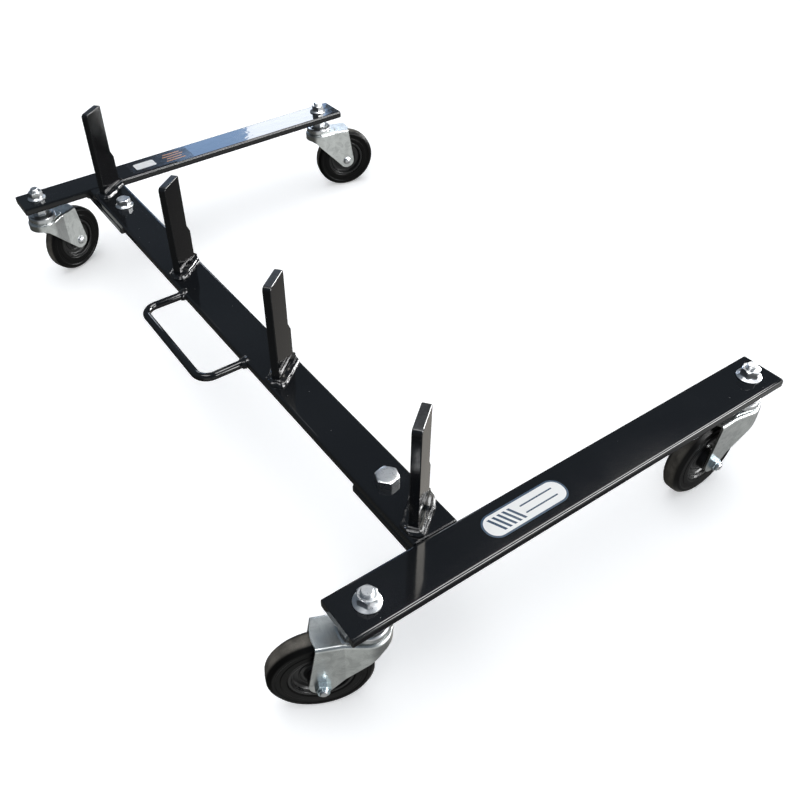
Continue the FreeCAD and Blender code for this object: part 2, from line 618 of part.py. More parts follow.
def wheel_core():
    """Moulded centre: rim, recessed web and hub."""
    rim_half = TYRE_WIDTH / 2 - 0.8
    rim_inner = CORE_RADIUS - 3
    web_half = 4.0
    one_side = [(BUSH_RADIUS + FIT_GAP, HUB_HALF_LENGTH), (HUB_RADIUS - 1, HUB_HALF_LENGTH),
                (HUB_RADIUS, HUB_HALF_LENGTH - 1), (HUB_RADIUS + 1.5, web_half + 1.5),
                (HUB_RADIUS + 3, web_half), (rim_inner - 2, web_half), (rim_inner - 0.6, web_half + 1.4),
                (rim_inner, rim_half - 0.6), (rim_inner + 0.6, rim_half), (CORE_RADIUS, rim_half)]
    other_side = [(r, -z) for r, z in reversed(one_side)]
    return revolved(one_side + other_side, ACROSS).translated(V(TRAIL, 0, WHEEL_RADIUS))


def hub_bushes():
    """Two plain bushes pressed into the hub, one from each end."""
    bore = SLEEVE_RADIUS + RUNNING_CLEARANCE
    starts = (-HUB_HALF_LENGTH, HUB_HALF_LENGTH - BUSH_LENGTH)
    return group([tube(BUSH_RADIUS, bore, V(TRAIL, y, WHEEL_RADIUS), BUSH_LENGTH, ACROSS) for y in starts])


# ---- labels ---------------------------------------------------------------------------------

def label(size, x, y, corner):
    """Thin film with rounded corners on the top face of a cross bar."""
    width, length = size
    sheet = Part.makeBox(width, length, LABEL_THICKNESS, V(x - width / 2, y - length / 2, DECK_HEIGHT))
    uprights = [e for e in sheet.Edges if abs(e.Length - LABEL_THICKNESS) < 0.001]
    return sheet.makeFillet(corner, uprights)


# ---- assembly -------------------------------------------------------------------------------

def frame_nodes():
    bar = main_bar()
    handle = grab_handle()
    plates = {1: stub_plate(1, FRONT_STUB_END_X, FRONT_BOLT_RADIUS),
              -1: stub_plate(-1, REAR_STUB_END_X, REAR_BOLT_RADIUS)}
    nodes = {
        "front_cross_bar": cross_bar(1),
        "rear_cross_bar": cross_bar(-1),
        "main_bar": bar,
        "front_stub_plate": plates[1],
        "rear_stub_plate": plates[-1],
        "stub_welds": stub_welds(plates),
        "grab_handle": handle,
        "handle_welds": handle_welds(handle, bar),
        "front_joint_bolt": front_joint_bolt(),
        "rear_joint_bolt": rear_joint_bolt(),
        "joint_washers": joint_washers(),
        "joint_nuts": joint_nuts(),
        "front_label": label(FRONT_LABEL_SIZE, END_BAR_X, FRONT_LABEL_Y, FRONT_LABEL_SIZE[0] * 0.48),
        "rear_label": label(REAR_LABEL_SIZE, -END_BAR_X, REAR_LABEL_Y, 4.0),
    }
    blade = upright()
    for number, x in enumerate(UPRIGHT_X, 1):
        nodes[f"upright_{number}"] = turned(blade, *upright_place(x))
    nodes["upright_welds"] = upright_welds()
    return nodes


def caster_nodes():
    nodes = {}
    places = {}
    for name, end, side, heading in CASTERS:
        places[name] = (heading, V(end * END_BAR_X, stem_y(end, side), 0))
    makers = {
        "stem": stem, "swivel_balls": swivel_balls, "fork": fork, "axle_bolt": axle_bolt,
        "axle_nut": axle_nut, "axle_sleeve": axle_sleeve, "tyre": tyre, "wheel_core": wheel_core,
        "hub_bushes": hub_bushes,
    }
    for piece, maker in makers.items():
        shape = maker()
        for name, place in places.items():
            nodes[f"{name}_{piece}"] = turned(shape, *place)
    shared = {"stem_nuts": stem_nut, "upper_races": upper_race, "lower_races": lower_race}
    for piece, maker in shared.items():
        shape = maker()
        nodes[piece] = group([turned(shape, *place) for place in places.values()])
    return nodes


def foot_centre(shapes):
    """Middle of the whole stand's bounding box, on the floor."""
    boxes = [shape.optimalBoundingBox() for shape in shapes]
    x = (min(b.XMin for b in boxes) + max(b.XMax for b in boxes)) / 2
    y = (min(b.YMin for b in boxes) + max(b.YMax for b in boxes)) / 2
    return V(x, y, 0)


def main():
    nodes = frame_nodes()
    nodes.update(caster_nodes())
    shift = foot_centre(nodes.values()) * -1
    os.makedirs("parts", exist_ok=True)
    for name, shape in nodes.items():
        shape.translated(shift).exportStep(f"parts/{name}.step")
    print(f"{len(nodes)} nodes, frame middle at X {shift.x:.2f}, Y {shift.y:.2f}")


main()
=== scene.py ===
"""Looks of the engine stand: finishes, weld beads, threads, wheels, stickers, studio and camera."""

import json
import math

import bpy
from mathutils import Matrix, Vector, noise

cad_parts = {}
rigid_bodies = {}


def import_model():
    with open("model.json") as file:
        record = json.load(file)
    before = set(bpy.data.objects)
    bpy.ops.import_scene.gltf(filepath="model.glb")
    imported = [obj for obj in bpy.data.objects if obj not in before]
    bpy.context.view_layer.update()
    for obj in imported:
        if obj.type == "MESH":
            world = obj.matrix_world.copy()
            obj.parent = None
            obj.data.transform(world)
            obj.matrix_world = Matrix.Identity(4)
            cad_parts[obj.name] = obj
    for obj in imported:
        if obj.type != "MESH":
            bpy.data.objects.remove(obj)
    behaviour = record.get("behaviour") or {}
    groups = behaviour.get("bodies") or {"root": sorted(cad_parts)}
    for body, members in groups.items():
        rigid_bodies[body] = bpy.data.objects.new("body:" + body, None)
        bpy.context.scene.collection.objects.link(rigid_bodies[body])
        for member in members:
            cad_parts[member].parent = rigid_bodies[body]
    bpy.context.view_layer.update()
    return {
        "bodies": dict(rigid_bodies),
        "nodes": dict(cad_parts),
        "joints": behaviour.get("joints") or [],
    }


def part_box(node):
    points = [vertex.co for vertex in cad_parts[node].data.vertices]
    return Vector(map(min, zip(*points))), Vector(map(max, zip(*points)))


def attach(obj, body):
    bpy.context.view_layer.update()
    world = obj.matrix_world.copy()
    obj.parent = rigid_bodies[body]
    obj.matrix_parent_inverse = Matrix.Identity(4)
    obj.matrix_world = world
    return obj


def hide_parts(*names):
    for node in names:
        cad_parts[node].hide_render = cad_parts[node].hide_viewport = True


MM = 0.001

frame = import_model()
nodes = frame["nodes"]
joints = {joint["name"]: joint for joint in frame["joints"]}
CASTERS = sorted(name[:-len("_swivel")] for name in frame["bodies"] if name.endswith("_swivel"))
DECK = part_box("main_bar")[1].z


# ---- node materials -------------------------------------------------------------------------

def plug(tree, value, socket):
    """Link a node's output to a socket, or set the socket to a plain value."""
    if isinstance(value, bpy.types.NodeSocket):
        tree.links.new(value, socket)
    else:
        socket.default_value = value


class Finish:
    """A node material being put together round one Principled shader."""

    def __init__(self, name, **values):
        self.material = bpy.data.materials.new(name)
        self.material.use_nodes = True
        self.tree = self.material.node_tree
        self.tree.nodes.clear()
        self.shader = self.node("ShaderNodeBsdfPrincipled")
        output = self.node("ShaderNodeOutputMaterial")
        self.tree.links.new(self.shader.outputs["BSDF"], output.inputs["Surface"])
        self.coordinates = self.node("ShaderNodeTexCoord").outputs["Object"]
        for key, value in values.items():
            self.shader.inputs[key.replace("_", " ")].default_value = value

    def node(self, kind, **settings):
        made = self.tree.nodes.new(kind)
        for key, value in settings.items():
            setattr(made, key, value)
        return made

    def feed(self, made, **inputs):
        """Set or link the inputs of a node, and return the node."""
        for key, value in inputs.items():
            plug(self.tree, value, made.inputs[key.replace("_", " ")])
        return made

    def drive(self, name, socket):
        self.tree.links.new(socket, self.shader.inputs[name])

    def stretched(self, factors):
        """Object coordinates scaled differently along each axis."""
        mapping = self.feed(self.node("ShaderNodeMapping"), Vector=self.coordinates, Scale=factors)
        return mapping.outputs["Vector"]

    def noise(self, scale, detail=2.0, roughness=0.5, distortion=0.0, at=None):
        made = self.node("ShaderNodeTexNoise")
        self.feed(made, Vector=at or self.coordinates, Scale=scale, Detail=detail,
                  Roughness=roughness, Distortion=distortion)
        return made.outputs["Fac"]

    def cells(self, scale):
        made = self.node("ShaderNodeTexVoronoi")
        self.feed(made, Vector=self.coordinates, Scale=scale)
        return made.outputs["Distance"], made.outputs["Color"]

    def spread(self, value, low, high, out_low=0.0, out_high=1.0):
        """Map the range low..high of a value to out_low..out_high, clamped, with soft ends."""
        made = self.node("ShaderNodeMapRange", interpolation_type="SMOOTHSTEP")
        self.feed(made, Value=value, From_Min=low, From_Max=high, To_Min=out_low, To_Max=out_high)
        return made.outputs["Result"]

    def calculated(self, operation, *values):
        made = self.node("ShaderNodeMath", operation=operation)
        for socket, value in zip(made.inputs, values):
            plug(self.tree, value, socket)
        return made.outputs["Value"]

    def sum(self, a, b):
        return self.calculated("ADD", a, b)

    def times(self, a, b):
        return self.calculated("MULTIPLY", a, b)

    def blend(self, factor, a, b):
        """Mix of two colours."""
        made = self.node("ShaderNodeMix", data_type="RGBA")
        sockets = (made.inputs["Factor"], made.inputs[6], made.inputs[7])
        for socket, value in zip(sockets, (factor, a, b)):
            plug(self.tree, value, socket)
        return made.outputs[2]

    def separated(self, value):
        made = self.feed(self.node("ShaderNodeSeparateXYZ"), Vector=value)
        return made.outputs["X"], made.outputs["Y"], made.outputs["Z"]

    def from_axis(self):
        """Distance from the local Z axis, and the height along it."""
        x, y, z = self.separated(self.coordinates)
        squares = self.sum(self.times(x, x), self.times(y, y))
        return self.calculated("POWER", squares, 0.5), z

    def relief(self, height, depth, edge_radius=0.0):
        """Bump of the depth given in metres, over edges rounded by the radius given."""
        made = self.feed(self.node("ShaderNodeBump"), Height=height, Distance=depth, Strength=1.0)
        if edge_radius:
            edge = self.feed(self.node("ShaderNodeBevel", samples=6), Radius=edge_radius)
            self.tree.links.new(edge.outputs["Normal"], made.inputs["Normal"])
        self.drive("Normal", made.outputs["Normal"])

    def specks(self, scale, radius, share):
        """Mask of small round specks, in a share of the cells of a grid."""
        distance, colour = self.cells(scale)
        chosen = self.spread(self.separated(colour)[0], 1 - share, 1 - share + 0.01)
        dots = self.spread(distance, radius * 0.6, radius, 1.0, 0.0)
        return self.times(chosen, dots)


def rgb(red, green, blue):
    return (red, green, blue, 1.0)


PEEL_HEIGHT = 0.012 * MM           # of the coat's orange peel


def black_coat(name, peel=1.0, edge_radius=0.4 * MM, dulled=0.0, waves=0.0, sawn_top=False):
    """Glossy black powder coat with a slight orange peel, wipe marks and a few dust specks.

    peel is a share of the usual orange peel, dulled is added to the roughness, and waves is the
    height of long ripples. With sawn_top, faces that point up are duller and speckled, as over a
    sawn end.
    """
    coat = Finish(name)
    dust = coat.specks(95, 0.05, 0.3)
    haze = coat.noise(7, 3, 0.55, 0.6)
    wiped = coat.noise(30, 4, 0.6, 0.4, at=coat.stretched((1.0, 0.25, 1.0)))
    tint = coat.blend(haze, rgb(0.0055, 0.0063, 0.0076), rgb(0.0115, 0.0125, 0.0142))
    smeared = coat.sum(haze, coat.times(wiped, 0.6))
    gloss = coat.spread(smeared, 0.55, 1.05, 0.035 + dulled, 0.10 + dulled)
    ripple = coat.sum(coat.noise(260, 1.5), coat.times(coat.noise(60, 1), 1.6))
    if waves:
        long_waves = coat.noise(90, 2, 0.5, 0.4, at=coat.stretched((1.0, 0.6, 1.0)))
        ripple = coat.sum(ripple, coat.times(long_waves, waves / (PEEL_HEIGHT * peel)))
    if sawn_top:
        facing = coat.separated(coat.node("ShaderNodeNewGeometry").outputs["Normal"])[2]
        top = coat.spread(facing, 0.85, 0.97)
        grit = coat.spread(coat.noise(420, 4, 0.7), 0.42, 0.62)
        tint = coat.blend(coat.times(top, grit), tint, rgb(0.024, 0.025, 0.028))
        gloss = coat.sum(gloss, coat.times(top, 0.22))
        ripple = coat.sum(ripple, coat.times(coat.times(top, grit), 16.0))
    coat.drive("Base Color", coat.blend(coat.times(dust, 0.55), tint, rgb(0.16, 0.16, 0.155)))
    coat.drive("Roughness", coat.sum(gloss, coat.times(dust, 0.4)))
    coat.relief(coat.sum(ripple, coat.times(dust, 1.2)), PEEL_HEIGHT * peel, edge_radius)
    return coat.material


def zinc(name, colour, dull, roughness, relief, clouding=1.0, streaks=0.0):
    """Zinc plate: bright metal with clouding, fine grain and small dull spots."""
    plate = Finish(name, Metallic=1.0)
    cloud = plate.noise(70, 6, 0.68, 1.0)
    grain = plate.noise(1500, 2)
    spots = plate.specks(260, 0.16, 0.25)
    worn = plate.sum(plate.spread(cloud, 0.38, 0.66), plate.times(spots, 0.5))
    plate.drive("Base Color", plate.blend(plate.times(worn, 0.7), colour, dull))
    uneven = plate.sum(plate.times(cloud, 0.20), plate.times(grain, 0.10))
    plate.drive("Roughness", plate.sum(uneven, roughness - 0.15))
    height = plate.sum(grain, plate.times(cloud, clouding))
    if streaks:
        lines = plate.noise(340, 2, at=plate.stretched((1.0, 1.0, 0.06)))
        height = plate.sum(height, plate.times(lines, streaks))
    plate.relief(height, relief, edge_radius=0.25 * MM)
    return plate.material


def polished_steel(name):
    steel = Finish(name, Metallic=1.0)
    film = steel.noise(400, 2)
    steel.drive("Base Color", steel.blend(film, rgb(0.62, 0.62, 0.63), rgb(0.50, 0.49, 0.47)))
    steel.drive("Roughness", steel.spread(film, 0.2, 0.8, 0.08, 0.18))
    return steel.material


TURNING_PITCH = 0.9 * MM           # of the fine rings left in the rubber


def tyre_rubber(name, tread_radius, half_width):
    """Black rubber. The tread is scuffed to a brownish grey and the sides keep their moulded sheen."""
    rubber = Finish(name, Specular_IOR_Level=0.12)
    radius, height = rubber.from_axis()
    tread = rubber.spread(radius, tread_radius - 1.5 * MM, tread_radius - 0.15 * MM)
    scuff = rubber.noise(60, 5, 0.65, 0.5)
    fine = rubber.noise(900, 3, 0.6)
    off_centre = rubber.calculated("ABSOLUTE", height)
    middle = rubber.spread(off_centre, half_width * 0.35, half_width * 0.75, 1.0, 0.25)
    dusty = rubber.times(rubber.times(tread, middle), rubber.spread(scuff, 0.25, 0.7, 0.45, 1.0))
    side = rubber.blend(scuff, rgb(0.0020, 0.0020, 0.0021), rgb(0.0050, 0.0048, 0.0046))
    worn = rubber.blend(fine, rgb(0.100, 0.092, 0.080), rgb(0.170, 0.157, 0.138))
    rubber.drive("Base Color", rubber.blend(dusty, side, worn))
    sheen = rubber.spread(scuff, 0.2, 0.8, 0.26, 0.42)
    rubber.drive("Roughness", rubber.sum(rubber.times(dusty, 0.25), sheen))
    circles = rubber.calculated("SINE", rubber.times(radius, 2 * math.pi / TURNING_PITCH))
    turned_marks = rubber.times(circles, 0.12)
    rubber.relief(rubber.sum(rubber.sum(fine, rubber.times(scuff, 1.5)), turned_marks), 0.035 * MM)
    return rubber.material


def moulded_plastic(name, dark, light, roughness):
    """Semi-gloss moulded nylon with a fine grain and faint flow marks."""
    plastic = Finish(name)
    flow = plastic.noise(35, 4, 0.55, 1.5)
    grain = plastic.noise(1300, 2)
    dust = plastic.specks(300, 0.12, 0.12)
    tint = plastic.blend(flow, dark, light)
    plastic.drive("Base Color", plastic.blend(plastic.times(dust, 0.35), tint, rgb(0.15, 0.14, 0.13)))
    plastic.drive("Roughness", plastic.spread(flow, 0.25, 0.75, roughness - 0.05, roughness + 0.07))
    plastic.relief(plastic.sum(grain, plastic.times(flow, 2.0)), 0.014 * MM, edge_radius=0.2 * MM)
    return plastic.material


def printed_film(name, colour):
    """Glossy sticker film with faint waviness, handling marks and a little dust."""
    film = Finish(name)
    smear = film.noise(45, 4, 0.6, 0.7)
    dust = film.specks(210, 0.08, 0.18)
    faded = tuple(channel * 0.90 + 0.008 for channel in colour[:3]) + (1.0,)
    tint = film.blend(smear, colour, faded)
    film.drive("Base Color", film.blend(film.times(dust, 0.4), tint, rgb(0.22, 0.21, 0.20)))
    film.drive("Roughness", film.spread(smear, 0.3, 0.75, 0.16, 0.30))
    film.relief(film.noise(110, 2), 0.03 * MM)
    return film.material


def sweep_paint(name):
    """Matt white paint that glows a little, and more so away from the stand.

    Shadows stay faint, and the far part is as pale as the part under the lights.
    """
    paint = Finish(name, Roughness=0.9, Specular_IOR_Level=0.0, Emission_Color=rgb(1, 1, 1))
    radius = paint.from_axis()[0]
    paint.drive("Emission Strength", paint.spread(radius, 1.2, 6.0, 0.38, 0.90))
    cloud = paint.noise(1.2, 3)
    paint.drive("Base Color", paint.blend(cloud, rgb(0.90, 0.90, 0.90), rgb(0.93, 0.93, 0.93)))
    return paint.material


# ---- mesh building --------------------------------------------------------------------------

def mesh_object(name, vertices, faces, material, sharp_degrees=35.0):
    mesh = bpy.data.meshes.new(name)
    mesh.from_pydata(vertices, [], faces)
    mesh.validate()
    mesh.shade_smooth()
    mesh.set_sharp_from_angle(angle=math.radians(sharp_degrees))
    mesh.materials.append(material)
    made = bpy.data.objects.new(name, mesh)
    bpy.context.scene.collection.objects.link(made)
    return made


def strip_faces(rings, count, closed_rings=False):
    """Quads between successive rings of count vertices each."""
    faces = []
    last = rings if closed_rings else rings - 1
    for i in range(last):
        low = i * count
        high = (i + 1) % rings * count
        for j in range(count):
            k = (j + 1) % count
            faces.append((low + j, low + k, high + k, high + j))
    return faces


def rounded(corners, steps=5):
    """Polyline with each corner (x, y, radius) replaced by an arc of its radius."""
    line = []
    for i, (x, y, radius) in enumerate(corners):
        here = Vector((x, y))
        if not radius or i in (0, len(corners) - 1):
            line.append(here)
            continue
        back = (Vector(corners[i - 1][:2]) - here).normalized()
        ahead = (Vector(corners[i + 1][:2]) - here).normalized()
        half_angle = back.angle(ahead) / 2
        reach = radius / math.tan(half_angle)
        centre = here + (back + ahead).normalized() * (radius / math.sin(half_angle))
        start = here + back * reach - centre
        end = here + ahead * reach - centre
        sweep = start.angle_signed(end)
        for step in range(steps + 1):
            line.append(centre + Matrix.Rotation(-sweep * step / steps, 2) @ start)
    return line


def turned_rings(profile, segments):
    """Rings of vertices from (radius, height) points turned about the local Z axis."""
    vertices = []
    for radius, height in profile:
        for j in range(segments):
            angle = 2 * math.pi * j / segments
            vertices.append((radius * math.cos(angle), radius * math.sin(angle), height))
    return vertices


def lathed(name, profile, material, segments):
    """Solid of revolution with a closed outline of (radius, height) points."""
    vertices = turned_rings(profile, segments)
    faces = strip_faces(len(profile), segments, closed_rings=True)
    return mesh_object(name, vertices, faces, material)


def capped(vertices, faces, count):
    """Close the first and last ring of a tube of rings."""
    last = len(vertices) - count
    faces.append(tuple(reversed(range(count))))
    faces.append(tuple(range(last, last + count)))


THREAD_DEPTH = 0.54                # of the pitch
THREAD_FLAT = 0.16                 # width of a crest or a root, of the pitch
THREAD_CUTS = 10                   # rings per turn


def thread_radius(outer, pitch, turn, z):
    """Radius of a 60 degree thread with flat crests and roots."""
    phase = (z / pitch - turn) % 1.0
    slope = abs(2 * phase - 1)
    cut = min(max((slope - THREAD_FLAT) / (1 - 2 * THREAD_FLAT), 0.0), 1.0)
    return outer - THREAD_DEPTH * pitch * cut


def threaded_stud(name, sections, outer, pitch, thread_low, thread_high, material, segments=48):
    """Turned stud: plain sections below the thread, then the thread with chamfered ends.

    sections are (radius, height) rings from the bottom up to thread_low.
    """
    rings = [(radius, z, False) for radius, z in sections]
    turns = round((thread_high - thread_low) / pitch * THREAD_CUTS)
    for i in range(turns + 1):
        rings.append((outer, thread_low + (thread_high - thread_low) * i / turns, True))
    chamfer = THREAD_DEPTH * pitch
    vertices = []
    for radius, z, cut in rings:
        for j in range(segments):
            turn = j / segments
            r = radius
            if cut:
                near_end = min(z - thread_low, thread_high - z)
                r = min(thread_radius(outer, pitch, turn, z), outer - chamfer + near_end * 0.8)
            vertices.append((r * math.cos(2 * math.pi * turn), r * math.sin(2 * math.pi * turn), z))
    faces = strip_faces(len(rings), segments)
    capped(vertices, faces, segments)
    return mesh_object(name, vertices, faces, material, 50)


HEX_SEGMENTS = 144
HEX_FLAT_TOP = 0.95                # of the distance across the flats
HEX_LIP = 0.12 * MM                # fall at the rim of the flat top
HEX_FALL = 0.45                    # slope of the cone outside the flat top
HEX_BLUNT = 0.25 * MM              # taken off the corners and the lower rim


def hexagon_radius(flats, angle):
    """Distance from the centre to the side of a hexagon whose corners are slightly blunt."""
    across = (angle + math.pi / 6) % (math.pi / 3) - math.pi / 6
    corner = flats / math.sqrt(3) - HEX_BLUNT
    return min(flats / 2 / math.cos(across), corner)


def hexagon_head(name, flats, low, high, material, turn=0.0):
    """Forged hexagon, whose flat top falls away to the corners in a cone."""
    flat_top = flats / 2 * HEX_FLAT_TOP
    vertices = []

    def add_ring(place):
        """Add a ring of vertices. place turns the side's radius into a radius and a height."""
        for j in range(HEX_SEGMENTS):
            angle = 2 * math.pi * j / HEX_SEGMENTS
            radius, z = place(hexagon_radius(flats, angle))
            vertices.append((radius * math.cos(angle + turn), radius * math.sin(angle + turn), z))

    def cone(share):
        def place(side):
            radius = flat_top + (side - flat_top) * share
            return radius, high - HEX_LIP - max(radius - flat_top, 0.0) * HEX_FALL
        return place

    def level(radius, z):
        return lambda side: (radius, z)

    def wall(share, z):
        return lambda side: (side * share, z)

    for share in (0.001, 0.5, 0.9):
        add_ring(level(flat_top * share, high))
    add_ring(level(flat_top, high - HEX_LIP))
    add_ring(cone(0.5))
    add_ring(cone(1.0))
    add_ring(wall(1.0, low + HEX_BLUNT))
    add_ring(wall(0.985, low))
    for share in (0.945, 0.315):
        add_ring(level(flats / 2 * share, low))
    rings = len(vertices) // HEX_SEGMENTS
    faces = [tuple(reversed(face)) for face in strip_faces(rings, HEX_SEGMENTS)]
    faces.append(tuple(range(HEX_SEGMENTS)))
    last = len(vertices) - HEX_SEGMENTS
    faces.append(tuple(reversed(range(last, last + HEX_SEGMENTS))))
    return mesh_object(name, vertices, faces, material, 25)


def joined(name, objects):
    """Join several meshes into the first and name the result."""
    with bpy.context.temp_override(active_object=objects[0], selected_editable_objects=objects):
        bpy.ops.object.join()
    objects[0].name = name
    objects[0].data.name = name
    return objects[0]


def stand_for(piece, body, slot, *cad_nodes):
    """Let a finished piece ride on its body in place of the CAD nodes it details."""
    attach(piece, body)
    if cad_nodes:
        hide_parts(*cad_nodes)


# ---- weld beads -----------------------------------------------------------------------------

BEAD_SECTION = 22                  # points across a bead
RIPPLE_PITCH = 2.6 * MM
RIPPLE_HEIGHT = 0.07 * MM
RIDGE_LENGTH = 26 * MM             # ridges run along the bead, from several passes
RIDGES_ACROSS = 5.5
RIDGE_HEIGHT = 1.1 * MM
LUMP_HEIGHT = 0.14 * MM
WANDER = 0.22                      # share of its legs that a bead swings by
STATION_STEP = 0.6 * MM
CORNER_STEPS = 12                  # stations round a corner of a foot


def weld_bead(path, seed, closed=True, swell=1.0, limit=None):
    """Vertices and faces of a ridged fillet bead.

    path holds (root, out, up, length, out_leg, up_leg) stations: the bead fills the corner at
    root between the direction out along one face and up along the other. limit, if given, is
    a low and a high Y that the bead stops at.
    """
    total = max(station[3] for station in path)
    vertices = []
    for root, out, up, length, out_leg, up_leg in path:
        along = root + out * out_leg + Vector((seed * 0.37, seed * 0.71, 0))
        wander = noise.noise(along * 90) * WANDER
        loop = 2 * math.pi * length / total
        lap = Vector((math.cos(loop), math.sin(loop), 0)) * total / (2 * math.pi * RIDGE_LENGTH)
        for k in range(BEAD_SECTION):
            v = k / (BEAD_SECTION - 1)
            angle = v * math.pi / 2
            crown = math.sin(math.pi * v)
            phase = length / RIPPLE_PITCH + noise.noise(along * 130) * 0.8 - 0.45 * crown
            ripple = abs(math.sin(math.pi * phase)) ** 0.7
            size = 1 + wander
            x = out_leg * size * math.cos(angle) ** 0.94
            y = up_leg * (2 - size) * math.sin(angle) ** 0.94
            spot = root + out * x + up * y
            ridge = noise.noise(lap + Vector((seed, seed, v * RIDGES_ACROSS))) * RIDGE_HEIGHT
            lump = noise.noise(spot * 210 + Vector((seed, 0, 0))) * LUMP_HEIGHT
            lift = crown ** 0.6 * (ripple * RIPPLE_HEIGHT + ridge + lump + 0.1 * MM) * swell
            direction = (out * math.cos(angle) + up * math.sin(angle)).normalized()
            point = spot + direction * lift
            if limit:
                point.y = min(max(point.y, limit[0]), limit[1])
            vertices.append(point)
        vertices.append(root - (out + up) * 0.5 * MM)
    count = BEAD_SECTION + 1
    faces = strip_faces(len(path), count, closed_rings=closed)
    if not closed:
        capped(vertices, faces, count)
    return vertices, faces


def welded(name, beads, material):
    """One object from several beads."""
    vertices, faces = [], []
    for bead_vertices, bead_faces in beads:
        start = len(vertices)
        vertices += bead_vertices
        faces += [tuple(start + i for i in face) for face in bead_faces]
    return mesh_object(name, vertices, faces, material, 60)


def foot_path(centre, turn, half_width, half_thickness, legs):
    """Stations round the rectangular foot of an upright."""
    rotation = Matrix.Rotation(turn, 3, "Z")
    up = Vector((0, 0, 1))
    corners = ((1, -1), (1, 1), (-1, 1), (-1, -1))
    stations = []
    length = 0.0
    for i, (sx, sy) in enumerate(corners):
        start = Vector((sx * half_width, sy * half_thickness, 0))
        nx, ny = corners[(i + 1) % 4]
        end = Vector((nx * half_width, ny * half_thickness, 0))
        along = (end - start).normalized()
        out = Vector((along.y, -along.x, 0))
        count = round((end - start).length / STATION_STEP)
        for j in range(count):
            stations.append((start + along * STATION_STEP * j, out, length))
            length += STATION_STEP
        for j in range(CORNER_STEPS):
            swung = Matrix.Rotation(math.pi / 2 * (j + 0.5) / CORNER_STEPS, 3, "Z") @ out
            stations.append((end, swung, length))
            length += legs[0] * 0.6 * math.pi / 2 / CORNER_STEPS
    return [(centre + rotation @ root, rotation @ out, up, length, *legs)
            for root, out, length in stations]


UPRIGHT_TURN = math.radians(128.8)     # direction of the blades' width
UPRIGHT_FOOT = (50.4 * MM, 9.5 * MM)
UPRIGHT_BEAD_LEGS = (8.5 * MM, 5.0 * MM)   # along the main bar, up the blade
EDGE_RADIUS = 3.0 * MM                     # of the rolled bars


def upright_beads(material):
    beads = []
    bar_low, bar_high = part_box("main_bar")
    limit = (bar_low.y + EDGE_RADIUS * 0.6, bar_high.y - EDGE_RADIUS * 0.6)
    for number in range(1, 5):
        low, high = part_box(f"upright_{number}")
        centre = Vector(((low.x + high.x) / 2, (low.y + high.y) / 2, DECK))
        half_width, half_thickness = UPRIGHT_FOOT[0] / 2, UPRIGHT_FOOT[1] / 2
        path = foot_path(centre, UPRIGHT_TURN, half_width, half_thickness, UPRIGHT_BEAD_LEGS)
        beads.append(weld_bead(path, number * 3.1, limit=limit))
    piece = welded("upright_weld_beads", beads, material)
    stand_for(piece, "frame", "black_coat", "upright_welds")


LAP_ABOVE = 7.0 * MM               # reach of the handle's bead over the main bar's edge
LAP_BELOW = 2.5 * MM


def handle_beads(material):
    """Lumpy bead round each end of the handle, lapping over the edge of the main bar."""
    low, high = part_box("grab_handle")
    rod = (high.z - low.z) / 2
    middle_z = (high.z + low.z) / 2
    bar_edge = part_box("main_bar")[0].y
    beads = []
    for x in (low.x + rod, high.x - rod):
        stations = []
        count = 84
        for i in range(count):
            angle = 2 * math.pi * i / count
            radial = Vector((math.sin(angle), 0, math.cos(angle)))
            over = abs(radial.z) ** 1.5
            lap = (LAP_ABOVE if radial.z > 0 else LAP_BELOW) * over
            root = Vector((x, bar_edge + lap, middle_z)) + radial * (rod - 0.3 * MM)
            up = Vector((0, -1, 0))
            length = angle * (rod + 2 * MM)
            out_leg = (3.6 - 1.9 * over) * MM
            stations.append((root, radial, up, length, out_leg, 5.0 * MM + lap))
        stations.reverse()
        beads.append(weld_bead(stations, 20 + x * 50, swell=1.25))
    piece = welded("handle_weld_beads", beads, material)
    stand_for(piece, "frame", "black_coat", "handle_welds")


def stub_beads(material):
    """Fillet bead along both sides of each stub plate, below its cross bar."""
    low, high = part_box("stub_welds")
    plate_low, plate_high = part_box("front_stub_plate")
    length = 34 * MM
    leg = 6.0 * MM
    beads = []
    for start_x in (low.x, high.x - length):
        for side, y in ((-1, plate_low.y), (1, plate_high.y)):
            out = Vector((0, side, 0))
            down = Vector((0, 0, -1))
            stations = []
            count = 64
            for i in range(count + 1):
                t = i / count
                taper = max(1 - abs(2 * t - 1) ** 7, 0.02) ** 0.5
                root = Vector((start_x + length * t, y, high.z))
                stations.append((root, out, down, length * t, leg * taper, leg * taper))
            if side > 0:
                stations.reverse()
            beads.append(weld_bead(stations, 40 + start_x * 9 + side, closed=False))
    piece = welded("stub_weld_beads", beads, material)
    stand_for(piece, "frame", "black_coat", "stub_welds")


# ---- studs and bolts ------------------------------------------------------------------------

M12 = (6.0 * MM, 1.75 * MM)            # outer radius, pitch
M14 = (7.0 * MM, 2.0 * MM)
KING_PIN_RADIUS = 6.0 * MM
DECK_THICKNESS = 11.1 * MM
STEM_HEX_FLATS = 19.0 * MM
STEM_HEX_HEIGHT = 13.0 * MM
FRONT_BOLT_FLATS = 22.0 * MM
FRONT_BOLT_PLAIN = 12 * MM             # shank without thread, below the head
FRONT_BOLT_TURN = math.radians(12)


